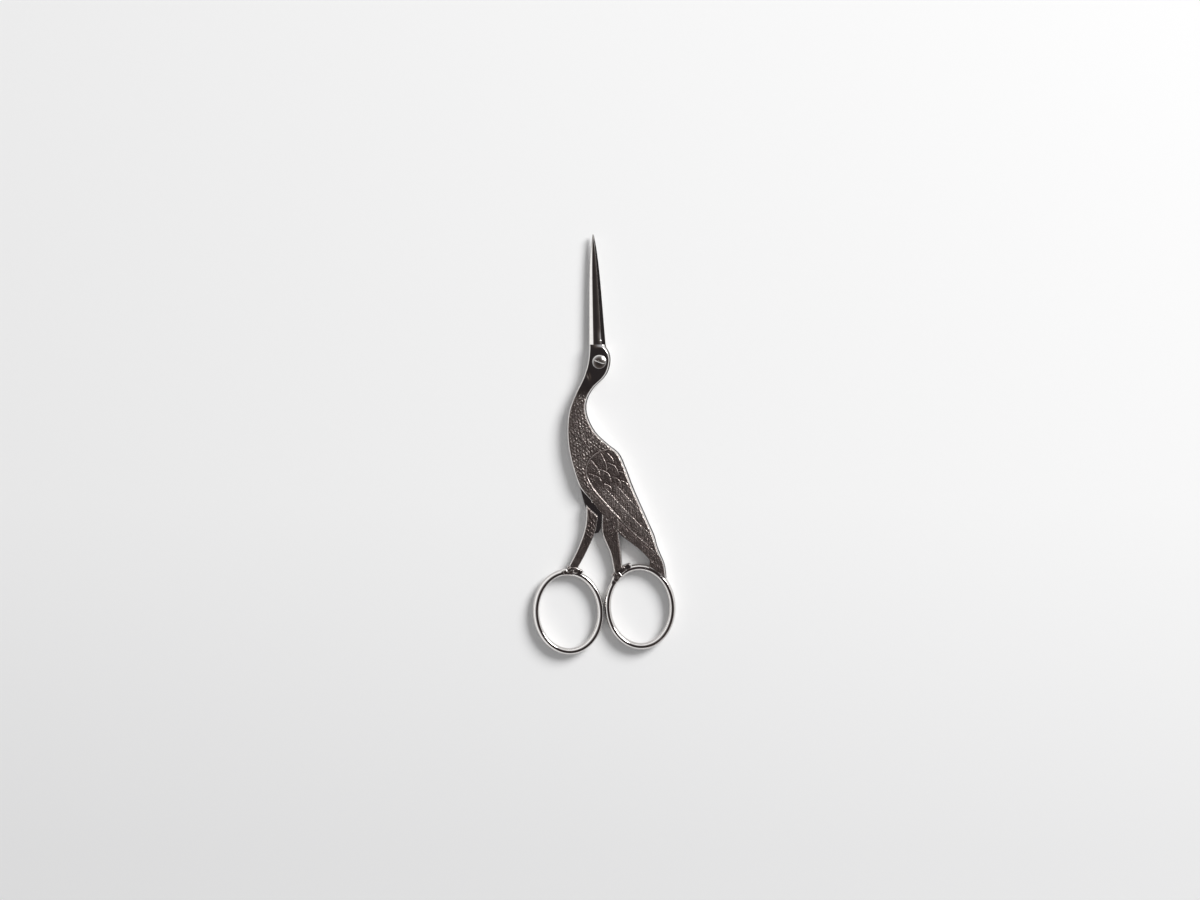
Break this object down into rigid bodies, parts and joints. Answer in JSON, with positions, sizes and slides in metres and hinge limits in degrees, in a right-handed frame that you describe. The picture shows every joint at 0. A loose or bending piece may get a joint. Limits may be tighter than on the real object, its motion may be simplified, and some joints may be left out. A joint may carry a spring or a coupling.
{
  "type": "stork embroidery scissors",
  "caption": "Small needlework scissors shaped as a standing stork: beak blades, screw eye, folded wing, and legs that stand on oval finger bows.",
  "frame": {"origin": "on the pivot's axis, at the flat back face that the closed scissors lie on", "axes": "+Y towards the blades' tips, +X towards the front half's finger bow, +Z along the pivot towards the screw's head"},
  "size_m": [0.0392, 0.1149, 0.0042],
  "materials": {
    "forged_steel_front": "polished steel, darkened in the engraving",
    "forged_steel_rear": "polished steel, darkened in the engraving",
    "screw_steel": "polished steel"
  },
  "bodies": {
    "rear": {"rear_half": "forged_steel_rear", "pivot_screw": "screw_steel"},
    "front": {"front_half": "forged_steel_front"}
  },
  "joints": [
    {"name": "pivot", "type": "hinge", "parent": "rear", "child": "front", "pos_m": [0, 0, 0.0018], "axis": [0, 0, 1], "range_deg": [0, 70]}
  ]
}
